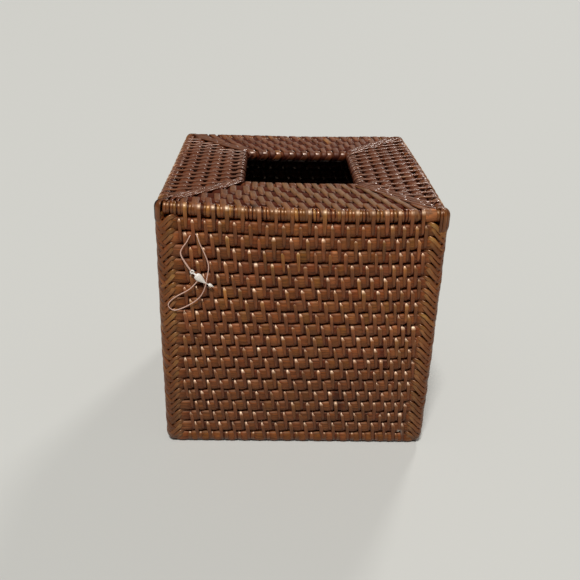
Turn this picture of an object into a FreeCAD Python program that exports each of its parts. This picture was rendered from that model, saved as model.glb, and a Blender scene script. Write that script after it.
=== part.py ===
"""Woven rattan tissue box cover: a square cover of stacked rods lashed with peel, open below, slot on top.

Units are millimetres. +Z is up, the origin is on the floor under the middle of the cover,
and the front wall faces -Y. Each wall and each quarter of the top is drawn once as the front
side and turned into place.
"""
import FreeCAD, Part
import math
import os
from FreeCAD import Vector

# Overall size and the slot that the tissues come through
width = 145.0
depth = 145.0
height = 142.5
opening_width = 60.0
opening_depth = 57.0

# Rods, and the posts that stand in the corners
rod_diameter = 5.8
rod_end_gap = 0.1
mitre_gap = 0.05

# Strips of peel that lash neighbouring rods together
strip_thickness = 0.55
strip_clearance = 0.05
wall_strip_width = 2.1
top_strip_width = 2.6
stitch_gap = 1.2
foot_height = 0.2

# Plaited bands over the corner posts
plait_arm = 9.0
plait_band = 6.0
plait_slope_degrees = 48.0

# Seam stitches that lie along the mitres of the top
mitre_strip_width = 2.0
mitre_strip_gap = 0.3

# Nylon loop that hangs from one stitch of the front wall
strand_diameter = 0.6
tag_place_x = -54.5
tag_row = 1
lock_length = 6.5
lock_large_radius = 1.95
lock_small_radius = 0.65
lock_thickness = 2.2
lock_edge_radius = 0.5
lock_standoff = 0.1
bead_radius = 1.2
bead_distance = 2.4
neck_radius = 0.45
tail_length = 2.2
tail_radius = 0.35
arrow_length = 2.6
arrow_radius = 0.9
arrow_tip_radius = 0.1
tail_turn_degrees = 17.0
lock_turn_degrees = -43.5
lock_offset = (0.65, -24.4)

# Route of the loop from the stitch that holds it: across, out from the wall's face, up
strand_route = (
    (0.3, 1.3, -26.2),
    (-2.6, 1.3, -30.2),
    (-6.6, 1.1, -33.0),
    (-11.4, 0.9, -35.8),
    (-15.2, 0.8, -39.2),
    (-15.8, 0.8, -41.8),
    (-13.2, 0.8, -44.2),
    (-9.3, 0.8, -43.2),
    (-3.9, 0.9, -40.2),
    (1.4, 1.4, -36.0),
    (4.2, 2.7, -29.6),
    (5.2, 2.5, -23.9),
    (6.3, 1.6, -18.6),
    (5.4, 1.2, -14.4),
    (4.0, 0.8, -9.6),
    (2.3, 0.6, -4.3),
    (2.0, -0.3, -1.7),
    (1.3, -1.1, 0.0),
    (-1.3, -1.1, 0.0),
    (-2.0, -0.3, -1.7),
    (-2.6, 0.6, -4.2),
    (-6.4, 0.9, -7.6),
    (-8.4, 1.1, -11.2),
    (-6.4, 1.2, -15.6),
    (-2.9, 1.2, -21.0),
)

# Sizes that follow from the ones above. Two strips pass between neighbouring rods
rod_radius = rod_diameter / 2
wrap_inner = rod_radius + strip_clearance
wrap_outer = wrap_inner + strip_thickness
least_spacing = rod_diameter + 2 * strip_thickness + 3 * strip_clearance
stitch_pitch = 2 * (max(wall_strip_width, top_strip_width) + stitch_gap)

corner_x = width / 2 - wrap_outer
corner_y = depth / 2 - wrap_outer
edge_z = height - wrap_outer
base_z = foot_height + wrap_outer
wall_steps = math.floor((edge_z - base_z) / least_spacing)
row_spacing = (edge_z - base_z) / wall_steps
frame_top_z = edge_z - wrap_outer - strip_clearance

rim_x = opening_width / 2 + wrap_outer
rim_y = opening_depth / 2 + wrap_outer
top_steps = math.floor(min(corner_x - rim_x, corner_y - rim_y) / least_spacing)
ring_spacing_x = (corner_x - rim_x) / top_steps
ring_spacing_y = (corner_y - rim_y) / top_steps


class Side:
    """One wall with its quarter of the top, drawn facing -Y and turned about the cover's axis."""

    def __init__(self, name, turn, along, across, step_along, step_across):
        self.name = name
        self.turn = turn
        self.along = along
        self.across = across
        self.step_across = step_across
        self.mitre_ratio = step_along / step_across

    def place(self, shapes):
        """Turn shapes that were drawn for the front into this side's place."""
        group = Part.makeCompound(shapes)
        group.rotate(Vector(0, 0, 0), Vector(0, 0, 1), self.turn)
        return group

    def row_z(self, row):
        return edge_z - row * row_spacing

    def ring_y(self, ring):
        return -self.across + ring * self.step_across

    def mitre_x(self, y):
        """Half length of the top at distance y, where two quarters meet."""
        return self.along - (y + self.across) * self.mitre_ratio


FRONT = Side("front", 0, corner_x, corner_y, ring_spacing_x, ring_spacing_y)
RIGHT = Side("right", 90, corner_y, corner_x, ring_spacing_y, ring_spacing_x)
BACK = Side("back", 180, corner_x, corner_y, ring_spacing_x, ring_spacing_y)
LEFT = Side("left", 270, corner_y, corner_x, ring_spacing_y, ring_spacing_x)
SIDES = (FRONT, RIGHT, BACK, LEFT)
CORNERS = (
    ("front_right", FRONT, RIGHT),
    ("back_right", RIGHT, BACK),
    ("back_left", BACK, LEFT),
    ("front_left", LEFT, FRONT),
)


def save(name, shapes):
    """Write one named sub-part."""
    Part.makeCompound(shapes).exportStep(f"parts/{name}.step")


def prism(points, bottom, top):
    """Upright prism over a polygon given as (x, y) corners."""
    corners = [Vector(x, y, bottom) for x, y in points]
    outline = Part.makePolygon(corners + corners[:1])
    return Part.Face(outline).extrude(Vector(0, 0, top - bottom))


def rounded_block(side, offset):
    """Block round the edge rods, whose upright corners are round about the post axes."""
    half_x = side.along + offset
    half_y = side.across + offset
    start = Vector(-half_x, -half_y, edge_z - wrap_outer)
    block = Part.makeBox(2 * half_x, 2 * half_y, 2 * wrap_outer, start)
    upright = [edge for edge in block.Edges if abs(edge.tangentAt(edge.FirstParameter).z) > 0.99]
    return block.makeFillet(offset, upright)


def straight_rod(half_length, y, z):
    start = Vector(-half_length, y, z)
    return Part.makeCylinder(rod_radius, 2 * half_length, start, Vector(1, 0, 0))


def quarter_of_top(side, setback):
    """Wedge between two mitres, drawn in from each mitre by a setback along the rods."""
    outer_y = -side.across - 2 * wrap_outer
    inner_y = side.ring_y(top_steps) + wrap_outer
    outer_x = side.mitre_x(outer_y) - setback
    inner_x = side.mitre_x(inner_y) - setback
    outline = ((-outer_x, outer_y), (outer_x, outer_y), (inner_x, inner_y), (-inner_x, inner_y))
    return prism(outline, edge_z - 2 * wrap_outer, edge_z + 2 * wrap_outer)


def mitred_rod(side, ring):
    """Rod of the top whose ends are cut along the mitres."""
    y = side.ring_y(ring)
    rod = straight_rod(side.mitre_x(y) + 2 * wrap_outer * side.mitre_ratio, y, edge_z)
    return rod.common(quarter_of_top(side, mitre_gap))


def strip_turn(first, second, strip_width):
    """One closed turn of peel round two rods, given the (y, z) of both centres. One rod is allowed."""
    return racetrack(first, second, wrap_outer, strip_width).cut(
        racetrack(first, second, wrap_inner, strip_width)
    )


def racetrack(first, second, radius, strip_width):
    """Solid hull of two equal circles in the YZ plane, as wide as a strip and centred on x = 0."""
    a = Vector(-strip_width / 2, *first)
    b = Vector(-strip_width / 2, *second)
    if first == second:
        return Part.makeCylinder(radius, strip_width, a, Vector(1, 0, 0))
    forward = (b - a).normalize() * radius
    sideways = Vector(1, 0, 0).cross(forward)
    outline = Part.Wire(
        [
            Part.LineSegment(a + sideways, b + sideways).toShape(),
            Part.Arc(b + sideways, b + forward, b - sideways).toShape(),
            Part.LineSegment(b - sideways, a - sideways).toShape(),
            Part.Arc(a - sideways, a - forward, a + sideways).toShape(),
        ]
    )
    return Part.Face(outline).extrude(Vector(strip_width, 0, 0))


def stitch_places(limit, staggered):
    """Places along a rod, one stitch pitch apart about the middle and at most a limit away from it."""
    start = 0.5 if staggered else 0.0
    count = math.floor(limit / stitch_pitch - start)
    right = [(start + i) * stitch_pitch for i in range(count + 1)]
    left = [-x for x in right if x > 0]
    return left + right


def stitch_row(turn, limit, staggered):
    """Copies of one turn of peel, set along its rods."""
    return [turn.translated(Vector(x, 0, 0)) for x in stitch_places(limit, staggered)]


def wall_stitch_limit(side):
    reach = side.along + wrap_outer - plait_arm
    return reach - wall_strip_width / 2 - strip_clearance


def seam_edge(side, band):
    """How far along the rods from the mitre a band of seam stitches starts."""
    skew_width = (mitre_strip_width + mitre_strip_gap) / math.cos(math.atan(side.mitre_ratio))
    return mitre_gap + band * skew_width


def top_stitch_limit(side, inner_ring):
    """Room for stitches beside both bands of the seam at the innermost rod that they go round."""
    inner_y = side.ring_y(inner_ring) + wrap_outer
    return side.mitre_x(inner_y) - seam_edge(side, 2) - top_strip_width / 2


def wall_row_is_staggered(row):
    return row % 2 == 0


def corner_posts():
    for name, side, _ in CORNERS:
        post = Part.makeCylinder(rod_radius, frame_top_z, Vector(side.along, -side.across, 0))
        save(f"corner_post_{name}", [side.place([post])])


def wall_rods():
    for side in SIDES:
        half_length = side.along - rod_radius - rod_end_gap
        rods = [straight_rod(half_length, -side.across, side.row_z(row)) for row in range(1, wall_steps + 1)]
        save(f"wall_rods_{side.name}", [side.place(rods[:-1])])
        save(f"base_rod_{side.name}", [side.place(rods[-1:])])


def top_rods():
    for side in SIDES:
        rods = [mitred_rod(side, ring) for ring in range(top_steps + 1)]
        edge_rod = rods[0].common(rounded_block(side, rod_radius))
        save(f"edge_rod_{side.name}", [side.place([edge_rod])])
        save(f"top_rods_{side.name}", [side.place(rods[1:-1])])
        save(f"rim_rod_{side.name}", [side.place(rods[-1:])])


def wall_lashing():
    for side in SIDES:
        limit = wall_stitch_limit(side)
        stitches = []
        for row in range(wall_steps):
            upper = (-side.across, side.row_z(row))
            lower = (-side.across, side.row_z(row + 1))
            turn = strip_turn(upper, lower, wall_strip_width)
            stitches += stitch_row(turn, limit, wall_row_is_staggered(row))
        save(f"wall_lashing_{side.name}", [side.place(stitches)])
        base = (-side.across, base_z)
        binding = stitch_row(strip_turn(base, base, wall_strip_width), limit, wall_row_is_staggered(wall_steps))
        save(f"base_binding_{side.name}", [side.place(binding)])


def top_lashing():
    for side in SIDES:
        stitches = []
        for ring in range(top_steps):
            outer = (side.ring_y(ring), edge_z)
            inner = (side.ring_y(ring + 1), edge_z)
            turn = strip_turn(outer, inner, top_strip_width)
            stitches += stitch_row(turn, top_stitch_limit(side, ring + 1), ring % 2 == 1)
        save(f"top_lashing_{side.name}", [side.place(stitches)])
        rim = (side.ring_y(top_steps), edge_z)
        turn = strip_turn(rim, rim, top_strip_width)
        binding = stitch_row(turn, top_stitch_limit(side, top_steps), top_steps % 2 == 1)
        save(f"rim_binding_{side.name}", [side.place(binding)])


def seam_stitch(side, ring, end):
    """Turn of peel that lies along the mitre at the right (+1) or left (-1) end of a side's rods."""
    outer = (side.ring_y(ring), edge_z)
    inner = (side.ring_y(ring + 1), edge_z)
    near_y = outer[0] - 2 * wrap_outer
    far_y = inner[0] + 2 * wrap_outer
    start = seam_edge(side, ring % 2)
    stop = seam_edge(side, ring % 2 + 1) - mitre_strip_gap
    outline = (
        (end * (side.mitre_x(near_y) - start), near_y),
        (end * (side.mitre_x(near_y) - stop), near_y),
        (end * (side.mitre_x(far_y) - stop), far_y),
        (end * (side.mitre_x(far_y) - start), far_y),
    )
    band = prism(outline, edge_z - 2 * wrap_outer, edge_z + 2 * wrap_outer)
    turn = strip_turn(outer, inner, 2 * (side.along + 2 * wrap_outer))
    return turn.common(band).common(rounded_block(side, wrap_outer))


def mitre_stitches():
    """Two bands of slanted stitches each side of a mitre, taking turns from ring to ring."""
    for name, right_end, left_end in CORNERS:
        before = [seam_stitch(right_end, ring, 1) for ring in range(top_steps)]
        after = [seam_stitch(left_end, ring, -1) for ring in range(top_steps)]
        save(f"mitre_stitches_{name}", [right_end.place(before), left_end.place(after)])


def plait_shell():
    """Layer of peel over a corner post and the rod ends beside it, about a post on the Z axis."""
    reach = plait_arm - wrap_outer
    diagonal = Vector(1, -1, 0).normalize()
    outer_a = Vector(0, -wrap_outer, 0)
    outer_b = Vector(wrap_outer, 0, 0)
    inner_a = Vector(0, -wrap_inner, 0)
    inner_b = Vector(wrap_inner, 0, 0)
    left = Vector(-reach, 0, 0)
    back = Vector(0, reach, 0)
    outline = Part.Wire(
        [
            Part.LineSegment(outer_a + left, outer_a).toShape(),
            Part.Arc(outer_a, diagonal * wrap_outer, outer_b).toShape(),
            Part.LineSegment(outer_b, outer_b + back).toShape(),
            Part.LineSegment(outer_b + back, inner_b + back).toShape(),
            Part.LineSegment(inner_b + back, inner_b).toShape(),
            Part.Arc(inner_b, diagonal * wrap_inner, inner_a).toShape(),
            Part.LineSegment(inner_a, inner_a + left).toShape(),
            Part.LineSegment(inner_a + left, outer_a + left).toShape(),
        ]
    )
    shell = Part.Face(outline).extrude(Vector(0, 0, frame_top_z - foot_height))
    return shell.translated(Vector(0, 0, foot_height))


def plait_band_cutter(vertex_z):
    """V-shaped bar through the corner whose two arms rise from its vertex along the walls."""
    half = plait_arm
    rise = half * math.sqrt(2) * math.tan(math.radians(plait_slope_degrees))
    across = Vector(1, 1, 0).normalize() * half
    through = Vector(1, -1, 0).normalize() * 2 * plait_arm
    lift = Vector(0, 0, plait_band)
    low = Vector(0, 0, vertex_z)
    high = Vector(0, 0, vertex_z + rise)
    corners = [low, high + across, high + across + lift, low + lift, high - across + lift, high - across]
    corners = [corner - through for corner in corners]
    return Part.Face(Part.makePolygon(corners + corners[:1])).extrude(through * 2)


def plait_vertices():
    """Heights of the bands' points, one for each row, so that the arms end in the gaps between rods."""
    arm_rise = plait_arm * math.tan(math.radians(plait_slope_degrees))
    first_gap = base_z + row_spacing / 2
    vertex = first_gap - plait_band / 2 - arm_rise
    lowest = foot_height + plait_band / 2 - arm_rise
    highest = frame_top_z - plait_band / 2
    vertices = []
    while vertex < highest:
        if vertex > lowest:
            vertices.append(vertex)
        vertex += row_spacing
    return vertices


def corner_plaits():
    shell = plait_shell()
    bands = [shell.common(plait_band_cutter(vertex)) for vertex in plait_vertices()]
    for name, side, _ in CORNERS:
        moved = [band.translated(Vector(side.along, -side.across, 0)) for band in bands]
        save(f"corner_plait_{name}", [side.place(moved)])


def tag_anchor():
    """Middle of the front face of the stitch that holds the loop, at the gap between its two rods."""
    limit = wall_stitch_limit(FRONT)
    places = stitch_places(limit, wall_row_is_staggered(tag_row))
    x = min(places, key=lambda place: abs(place - tag_place_x))
    return Vector(x, -depth / 2, FRONT.row_z(tag_row) - row_spacing / 2)


def rounded_path(points):
    """Straight runs joined by tangent arcs as large as the runs allow. Returns the wire and the radii."""
    edges = []
    radii = []
    start = points[0]
    for before, corner, after in zip(points, points[1:], points[2:]):
        back = before - corner
        ahead = after - corner
        setback = 0.45 * min(back.Length, ahead.Length)
        back.normalize()
        ahead.normalize()
        half_turn = (math.pi - back.getAngle(ahead)) / 2
        radius = setback / math.tan(half_turn)
        inward = (back + ahead).normalize()
        middle = corner + inward * (radius / math.cos(half_turn) - radius)
        arc_start = corner + back * setback
        arc_end = corner + ahead * setback
        edges.append(Part.LineSegment(start, arc_start).toShape())
        edges.append(Part.Arc(arc_start, middle, arc_end).toShape())
        radii.append(radius)
        start = arc_end
    edges.append(Part.LineSegment(start, points[-1]).toShape())
    return Part.Wire(edges), radii


def tag_lock(anchor):
    """Drop-shaped lock with a neck and bead at its large end and a tail with an arrowhead at its small end."""
    length = lock_length - lock_small_radius - lock_large_radius
    tilt = math.asin((lock_large_radius - lock_small_radius) / length)
    large = Vector(0, 0, 0)
    small = Vector(length, 0, 0)
    up = Vector(math.sin(tilt), 0, math.cos(tilt))
    down = Vector(math.sin(tilt), 0, -math.cos(tilt))
    outline = Part.Wire(
        [
            Part.LineSegment(large + up * lock_large_radius, small + up * lock_small_radius).toShape(),
            Part.Arc(
                small + up * lock_small_radius,
                small + Vector(lock_small_radius, 0, 0),
                small + down * lock_small_radius,
            ).toShape(),
            Part.LineSegment(small + down * lock_small_radius, large + down * lock_large_radius).toShape(),
            Part.Arc(
                large + down * lock_large_radius,
                large - Vector(lock_large_radius, 0, 0),
                large + up * lock_large_radius,
            ).toShape(),
        ]
    )
    body = Part.Face(outline).extrude(Vector(0, lock_thickness, 0))
    body = body.makeFillet(lock_edge_radius, body.Edges)
    middle = Vector(0, lock_thickness / 2, 0)
    ahead = Vector(1, 0, 0)
    bead_place = middle - ahead * (lock_large_radius + bead_distance)
    bead = Part.makeSphere(bead_radius, bead_place)
    neck = Part.makeCylinder(neck_radius, bead_distance + lock_large_radius, bead_place, ahead)
    tail_turn = math.radians(tail_turn_degrees)
    tail_way = Vector(math.cos(tail_turn), 0, math.sin(tail_turn))
    tail_reach = lock_small_radius + tail_length
    tail = Part.makeCylinder(tail_radius, tail_reach, small + middle, tail_way)
    arrow_place = small + middle + tail_way * tail_reach
    arrow = Part.makeCone(arrow_radius, arrow_tip_radius, arrow_length, arrow_place, tail_way)
    lock = body.multiFuse([bead, neck, tail, arrow])
    lock.rotate(Vector(0, 0, 0), Vector(0, 1, 0), -lock_turn_degrees)
    out = lock_standoff + lock_thickness
    return lock.translated(anchor + Vector(lock_offset[0], -out, lock_offset[1]))


def tag():
    anchor = tag_anchor()
    points = [anchor + Vector(across, -out, up) for across, out, up in strand_route]
    path, radii = rounded_path(points)
    profile = Part.makeCircle(strand_diameter / 2, points[0], points[1] - points[0])
    strand = path.makePipeShell([Part.Wire(profile)], True, False)
    section = math.pi * strand_diameter ** 2 / 4
    print("strand radii", [round(radius, 1) for radius in radii])
    print("strand length", round(path.Length, 1))
    print("strand volume against section by length", round(strand.Volume / (section * path.Length), 4))
    lock = tag_lock(anchor)
    save("tag_strand", strand.cut(lock).Solids)
    save("tag_lock", lock.Solids)


os.makedirs("parts", exist_ok=True)
corner_posts()
wall_rods()
top_rods()
wall_lashing()
top_lashing()
mitre_stitches()
corner_plaits()
tag()
print("rows", wall_steps + 1, "row spacing", round(row_spacing, 3))
print("rings", top_steps + 1, "ring spacing", round(ring_spacing_x, 3), round(ring_spacing_y, 3))
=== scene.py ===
"""Looks of the woven rattan tissue box cover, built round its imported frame.

Lengths are metres. +Z is up and the front wall faces -Y. Each wall and each quarter of the top is
made as the front side and turned into place. Every rod and strip is a sweep: a line of points, the
way its face looks and a section.
"""
import math

import bpy
import numpy as np
from mathutils import Matrix, Vector


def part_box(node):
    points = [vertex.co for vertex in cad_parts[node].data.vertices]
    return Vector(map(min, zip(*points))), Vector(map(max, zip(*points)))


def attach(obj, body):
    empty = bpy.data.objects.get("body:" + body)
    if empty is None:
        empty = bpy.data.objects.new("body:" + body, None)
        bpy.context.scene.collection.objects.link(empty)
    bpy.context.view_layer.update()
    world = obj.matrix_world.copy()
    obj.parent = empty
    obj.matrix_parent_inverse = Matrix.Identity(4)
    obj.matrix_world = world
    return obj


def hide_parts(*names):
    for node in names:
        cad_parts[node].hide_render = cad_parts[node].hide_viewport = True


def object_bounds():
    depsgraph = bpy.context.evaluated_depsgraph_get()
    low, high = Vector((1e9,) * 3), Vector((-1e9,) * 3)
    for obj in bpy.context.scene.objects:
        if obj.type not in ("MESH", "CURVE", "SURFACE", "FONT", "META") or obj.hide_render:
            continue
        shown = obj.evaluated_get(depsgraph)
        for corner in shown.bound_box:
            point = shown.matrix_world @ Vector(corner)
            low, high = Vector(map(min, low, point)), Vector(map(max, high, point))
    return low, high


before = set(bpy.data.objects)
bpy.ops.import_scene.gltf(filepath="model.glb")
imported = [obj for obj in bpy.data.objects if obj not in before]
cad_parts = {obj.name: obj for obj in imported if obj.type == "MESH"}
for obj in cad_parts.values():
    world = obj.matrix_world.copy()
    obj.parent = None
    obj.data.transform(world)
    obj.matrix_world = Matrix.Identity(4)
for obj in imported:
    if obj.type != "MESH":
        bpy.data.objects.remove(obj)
cad_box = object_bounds()
rng = np.random.default_rng(11)

MM = 0.001

# Sizes that the frame gives
post_low, post_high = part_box("corner_post_front_right")
rod_radius = (post_high.x - post_low.x) / 2
corner_x = post_high.x - rod_radius
corner_y = -post_low.y - rod_radius
frame_top_z = post_high.z
edge_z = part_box("edge_rod_front")[1].z - rod_radius
base_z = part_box("base_rod_front")[0].z + rod_radius
row_spacing = edge_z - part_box("wall_rods_front")[1].z + rod_radius
wall_steps = round((edge_z - base_z) / row_spacing)
ring_spacing_y = corner_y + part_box("top_rods_front")[0].y + rod_radius
ring_spacing_x = corner_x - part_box("top_rods_right")[1].x + rod_radius
top_steps = round((corner_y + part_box("rim_rod_front")[0].y + rod_radius) / ring_spacing_y)
wall_face_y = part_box("base_binding_front")[0].y

# Rods swell between the stitches that pinch them, until they nearly touch
rod_swell = 0.5 * MM
top_swell = 0.2 * MM
rim_inset = 0.15 * MM
rod_pinch = 0.05 * MM
rod_clearance = 0.04 * MM
rod_corner_radius = 4.5 * MM

# Stitches: pitches before they are spread, wider in the middle of a side, and the walls' drift per row
wall_pitch = 6.85 * MM
wall_spread = 0.207
wall_shift = -4.2 * MM
first_share = -0.1
row_drift = 0.46
top_pitch = 6.9 * MM
edge_pitch = 1.75 * MM

# Strips of peel: widths and thicknesses
wall_strip_width = 2.15 * MM
edge_strip_width = 1.55 * MM
seam_strip_width = 2.1 * MM
plait_strip_width = 2.25 * MM
strip_thickness = 0.68 * MM
strip_back_thickness = 0.4 * MM
strip_seat = rod_radius - 0.05 * MM
edge_lift = 0.2 * MM
run_depth = 0.4 * MM
run_half_width = 1.0 * MM
wrap_end_room = 0.5 * MM
wrap_stitch_room = 1.3 * MM

# Slant of the stitches: across the wall, across the top and along the mitres
wall_lean = 2.0 * MM
top_lean = 4.2 * MM
mitre_lean = 10.5 * MM


def display(red, green, blue):
    """Linear colour of a display colour given from 0 to 255."""
    part = np.array((red, green, blue)) / 255
    return np.where(part <= 0.04045, part / 12.92, ((part + 0.055) / 1.055) ** 2.4)


CHESTNUT = display(106, 53, 17)
RUSSET = display(112, 44, 11)
OLIVE = display(110, 73, 19)
PEACH = display(172, 106, 62)
UMBER = display(86, 46, 22)
MAUVE = display(106, 59, 42)
HONEY = display(184, 128, 58)
SOOT = display(34, 24, 20)
CHALK = display(236, 228, 214)
TAUPE = display(134, 88, 61)
MUD = display(96, 57, 37)
KHAKI = display(122, 90, 52)
# Pale colour of the painted highlight where stitches bend over a rod
HIGHLIGHT_PALE = display(236, 186, 150)

# Painted shade turns redder as it darkens: powers of the shade for red, green and blue
SHADE_REDDENING = np.array((0.62, 1.15, 1.45))

# Mixtures of stains: colours and their shares
WALL_MIX = np.array((CHESTNUT, RUSSET, OLIVE, PEACH, UMBER, MAUVE)), np.array((2.6, 1.8, 1.8, 1.0, 1.2, 0.8))
TOP_MIX = np.array((TAUPE, MUD, CHESTNUT, UMBER)), np.array((3.0, 2.4, 1.6, 1.2))


def unit(vectors):
    return vectors / np.linalg.norm(vectors, axis=-1, keepdims=True)


def joined(x, y, z):
    """Points from their coordinates, each of which may be one for all."""
    return np.stack(np.broadcast_arrays(x, y, z), axis=-1)


def smooth_step(start, stop, value):
    share = np.clip((value - start) / (stop - start), 0, 1)
    return share * share * (3 - 2 * share)


def toward(colours, colour, share):
    """Colours moved a share of the way to another colour."""
    return colours + share * (colour - colours)


def tints(count, mix, evenness=1.0):
    """Random colours from a mixture, closer to its mean with more evenness."""
    palette, shares = mix
    return rng.dirichlet(shares * evenness, count) @ palette


def waver(count, places, wavelength):
    """Smooth random waves along places, about -1 to 1, one line for each of count strands."""
    total = np.zeros((count, len(places)))
    for octave in (1.0, 1.7, 2.9):
        phase = rng.uniform(0, 2 * math.pi, (count, 1))
        total += np.sin(2 * math.pi * octave * places / wavelength + phase) / 2.2
    return total


# Sections as (across, out) points: a round, a fuller one for rods and a domed one for peel
ROUND_POINTS = 16
DOME_POINTS = 6
round_angles = np.arange(ROUND_POINTS) * 2 * math.pi / ROUND_POINTS - math.pi / 2
dome_angles = np.linspace(0, math.pi, DOME_POINTS)
ROUND = np.stack([np.cos(round_angles), np.sin(round_angles)], axis=1)
BLOCKY = np.sign(ROUND) * abs(ROUND) ** 0.64
dome_across = np.cos(dome_angles)
DOME = np.stack([np.sign(dome_across) * abs(dome_across) ** 0.55, np.sin(dome_angles) ** 0.45], axis=1)
DOME_SHADE = 0.22 + 0.78 * np.sin(dome_angles) ** 0.5


# The weave has settled unevenly: its front edge dips, its walls bulge and its right back corner stands up
edge_dip = 2.0 * MM
wall_sag = 1.3 * MM
wall_bulge = 0.33 * MM
top_narrowing = 0.21 * MM
LEFT_RISES = (1.1 * MM, 0.16 * MM)
RIGHT_RISES = (-0.6 * MM, 1.07 * MM)


def settled(places):
    """Move places of the even weave to where they have settled; rises are for the front and the back."""
    x = places[..., 0] / -wall_face_y
    y = places[..., 1] / -wall_face_y
    z = places[..., 2] / cad_box[1].z
    bulging = np.sin(math.pi * z.clip(0, 1))
    front = smooth_step(-0.2, 1.0, -y)
    upper = smooth_step(0.3, 1.0, z)
    left = smooth_step(0, 0.95, -x)
    right = smooth_step(0, 0.95, x)
    front_rise = LEFT_RISES[0] * left + RIGHT_RISES[0] * right - edge_dip * (1 - x ** 2).clip(0)
    back_rise = LEFT_RISES[1] * left + RIGHT_RISES[1] * right
    moved = places.copy()
    moved[..., 0] += x * (wall_bulge * bulging - top_narrowing * z)
    moved[..., 2] += upper * (front * front_rise + (1 - front) * back_rise) - wall_sag * bulging * front
    return moved


class Piece:
    """Swept strands gathered for one piece, which become one mesh."""

    def __init__(self):
        self.batches = []

    def add(self, points, out, section, half_width, thickness, tint, place=None, shade=1.0):
        """Strands along points (strand, step, xyz), with faces turned to out and a colour each.

        A painted shade darkens the colour of each point of the section at each step, or lightens it where it
        is above 1.
        """
        strands, steps = points.shape[:2]
        ahead = unit(np.gradient(points, axis=1))
        side = unit(np.cross(ahead, np.broadcast_to(out, points.shape)))
        face = np.cross(side, ahead)
        across = np.broadcast_to(half_width, (strands, steps))[..., None] * section[:, 0]
        height = np.broadcast_to(thickness, (strands, steps))[..., None] * section[:, 1]
        corners = points[:, :, None] + across[..., None] * side[:, :, None]
        corners = corners + height[..., None] * face[:, :, None]
        paces = np.linalg.norm(np.diff(points, axis=1), axis=-1)
        walked = np.concatenate([np.zeros((strands, 1)), np.cumsum(paces, axis=1)], axis=1)
        grain = np.stack([np.broadcast_to(walked[..., None], across.shape), across, height], axis=-1)
        grain = grain + rng.uniform(0, 1, (strands, 1, 1, 3))
        tint = np.asarray(tint)
        if tint.ndim == 2:
            tint = tint[:, None]
        tint = tint[:, :, None] * np.broadcast_to(shade, corners.shape[:3])[..., None] ** SHADE_REDDENING
        if place is not None:
            corners = settled(place(corners))
        self.batches.append((corners, grain, tint))

    def build(self, name, slot, material, columns=None):
        """One mesh object that stands for the frame's node of the same name."""
        count = sum(len(corners) for corners, _, _ in self.batches)
        columns = columns or math.ceil(math.sqrt(count))
        rows = math.ceil(count / columns)
        places, grains, colours, loops, starts, maps = [], [], [], [], [], []
        vertex_count = loop_count = strand_count = 0
        for corners, grain, tint in self.batches:
            strands, steps, around = corners.shape[:3]
            index = np.arange(strands * steps * around).reshape(strands, steps, around) + vertex_count
            ahead = np.roll(index, -1, axis=2)
            quads = np.stack([index[:, :-1], index[:, 1:], ahead[:, 1:], ahead[:, :-1]], axis=-1)
            cell = np.arange(strands) + strand_count
            cell_place = np.stack([cell % columns, cell // columns], axis=-1)
            quad_maps = cell_corners(steps, around)
            cap_maps = cell_caps(around)
            grid = np.array((columns, rows))
            for face_loops, face_maps, size in (
                (quads.reshape(strands, -1), quad_maps, 4),
                (index[:, 0], cap_maps[0], around),
                (index[:, -1, ::-1], cap_maps[1], around),
            ):
                loops.append(face_loops.ravel())
                maps.append(((cell_place[:, None] + face_maps[None]) / grid).reshape(-1, 2))
                starts.append(np.arange(0, face_loops.size, size) + loop_count)
                loop_count += face_loops.size
            places.append(corners.reshape(-1, 3))
            grains.append(grain.reshape(-1, 3))
            colours.append(tint.reshape(-1, 3))
            vertex_count += index.size
            strand_count += strands
        return finished_mesh(name, material, places, grains, colours, loops, starts, maps)


CELL_MARGIN = 0.06


def cell_corners(steps, around):
    """Texture places of a strand's faces within its own cell."""
    u = CELL_MARGIN + (1 - 2 * CELL_MARGIN) * np.arange(steps) / (steps - 1)
    v = CELL_MARGIN + (1 - 2 * CELL_MARGIN) * np.arange(around + 1) / around
    u, v = np.meshgrid(u, v, indexing="ij")
    grid = np.stack([u, v], axis=-1)
    quads = np.stack([grid[:-1, :-1], grid[1:, :-1], grid[1:, 1:], grid[:-1, 1:]], axis=2)
    return quads.reshape(-1, 2)


def cell_caps(around):
    """Texture places of a strand's two end faces, small rounds in the margin's corners."""
    angles = np.arange(around) * 2 * math.pi / around
    round_map = np.stack([np.cos(angles), np.sin(angles)], axis=1) * CELL_MARGIN / 3
    return round_map + CELL_MARGIN / 2, round_map[::-1] + (1 - CELL_MARGIN / 2)


# Marks of wear on the front: place, reach, colour and strength
MARKS = (
    (np.array((0.0596, -0.0725, 0.0078)), 1.3 * MM, CHALK, 0.95),
    (np.array((-0.0238, -0.0687, 0.1405)), 2.2 * MM, SOOT, 0.85),
)


def marked(places, colours):
    for centre, reach, colour, strength in MARKS:
        distance = np.linalg.norm(places - centre, axis=1)
        share = strength * np.exp(-((distance / reach) ** 4))
        colours = toward(colours, colour, share[:, None])
    return colours


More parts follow.
